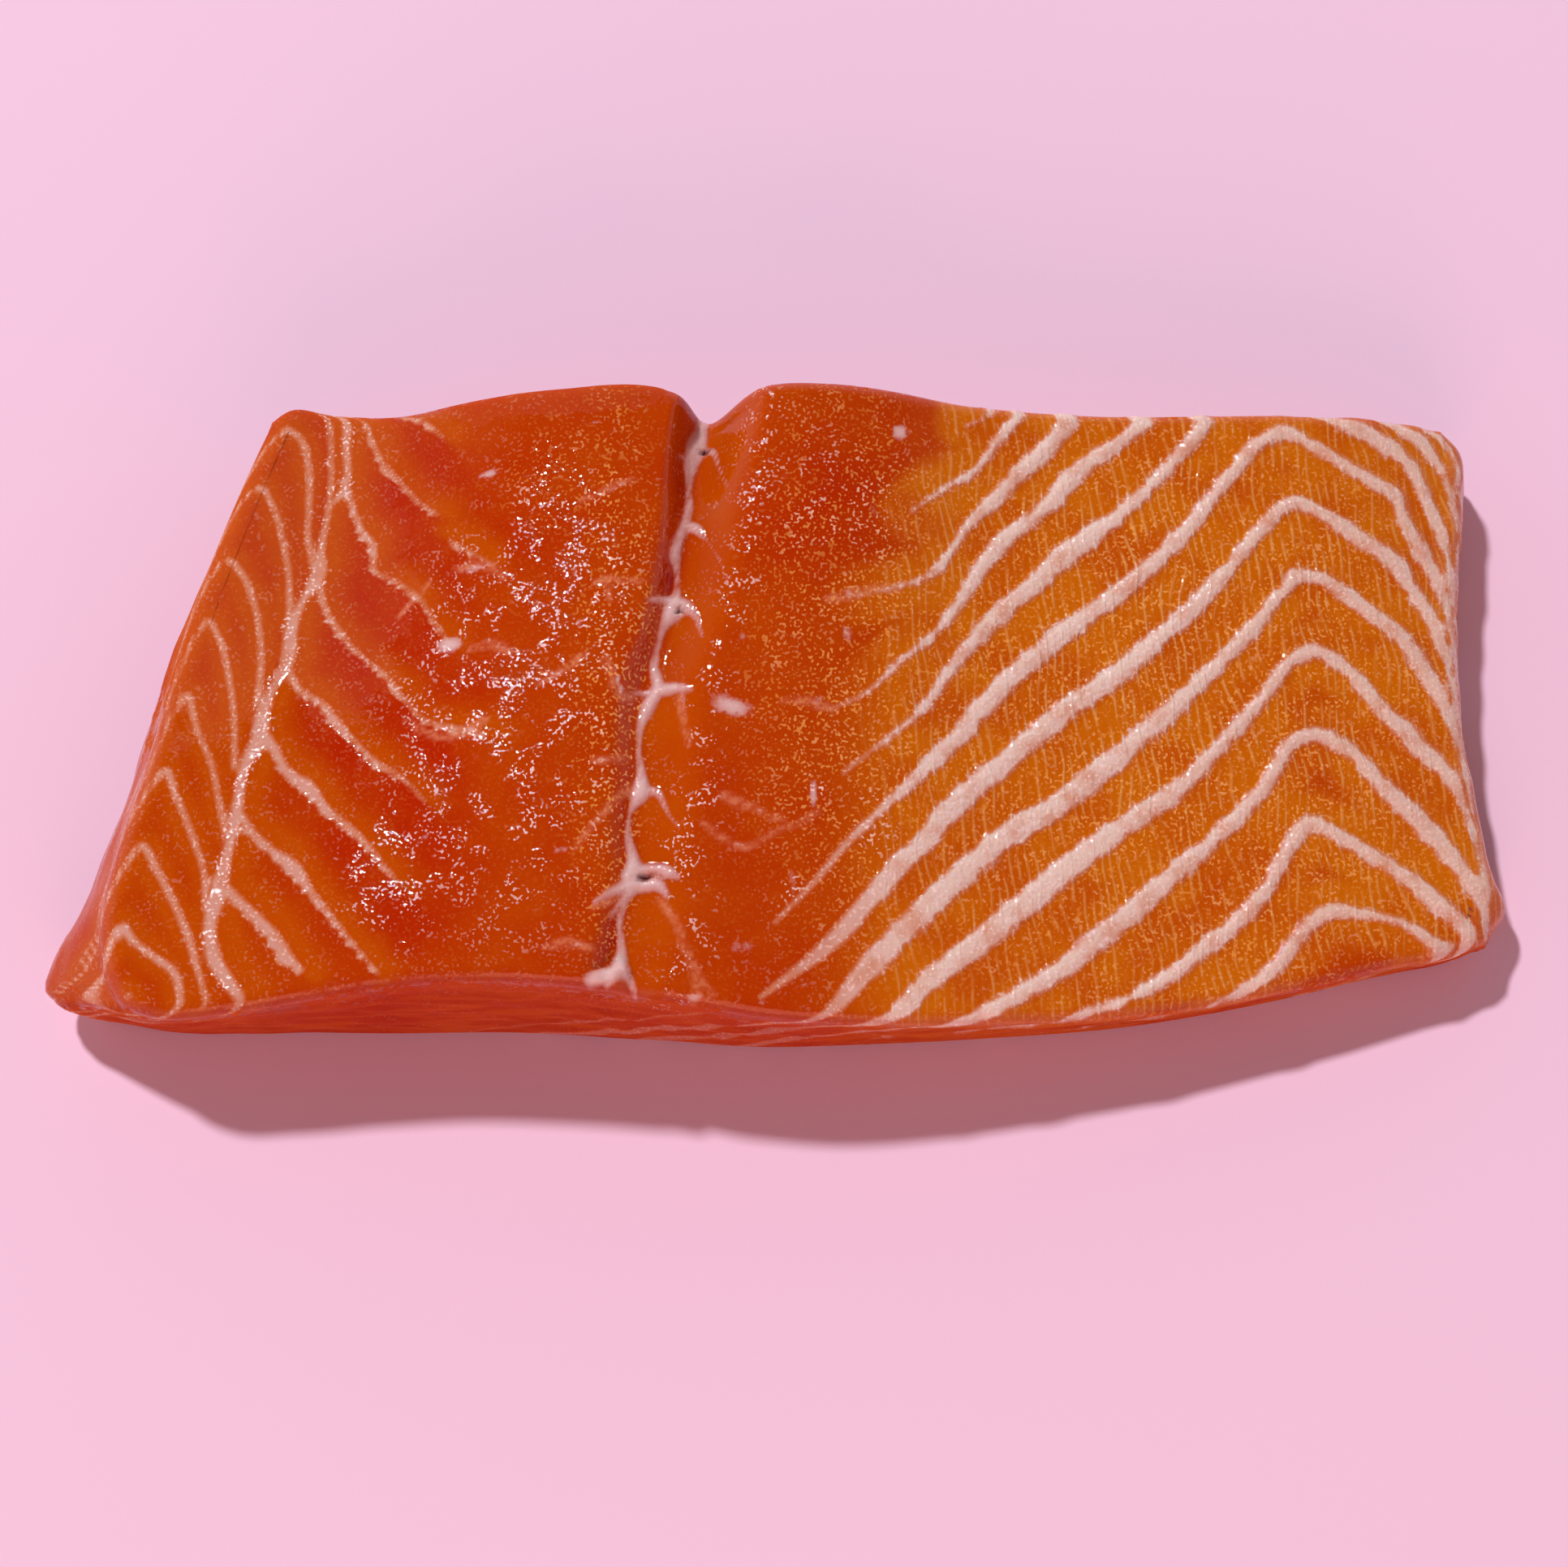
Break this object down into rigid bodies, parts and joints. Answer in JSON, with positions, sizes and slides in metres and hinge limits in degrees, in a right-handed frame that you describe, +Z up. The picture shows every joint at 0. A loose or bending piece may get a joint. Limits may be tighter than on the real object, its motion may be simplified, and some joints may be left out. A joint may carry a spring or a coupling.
{
  "type": "king salmon fillet",
  "caption": "Raw skinless king salmon portion cut crosswise from the side, thick along the back loin with a seam groove, thinning to a belly marked by chevrons of fat.",
  "frame": {"origin": "middle of the footprint, on the surface that the fillet lies on", "axes": "+X runs from the thick back edge of the fish to the thin belly edge, +Y to the far knife cut, towards the tail, +Z up, out of the flesh side"},
  "size_m": [0.163, 0.0718, 0.0277],
  "materials": {
    "salmon_flesh": "wet raw fish flesh, deep orange red with pale fat bands"
  },
  "bodies": {
    "root": {"fillet": "salmon_flesh"}
  },
  "joints": []
}
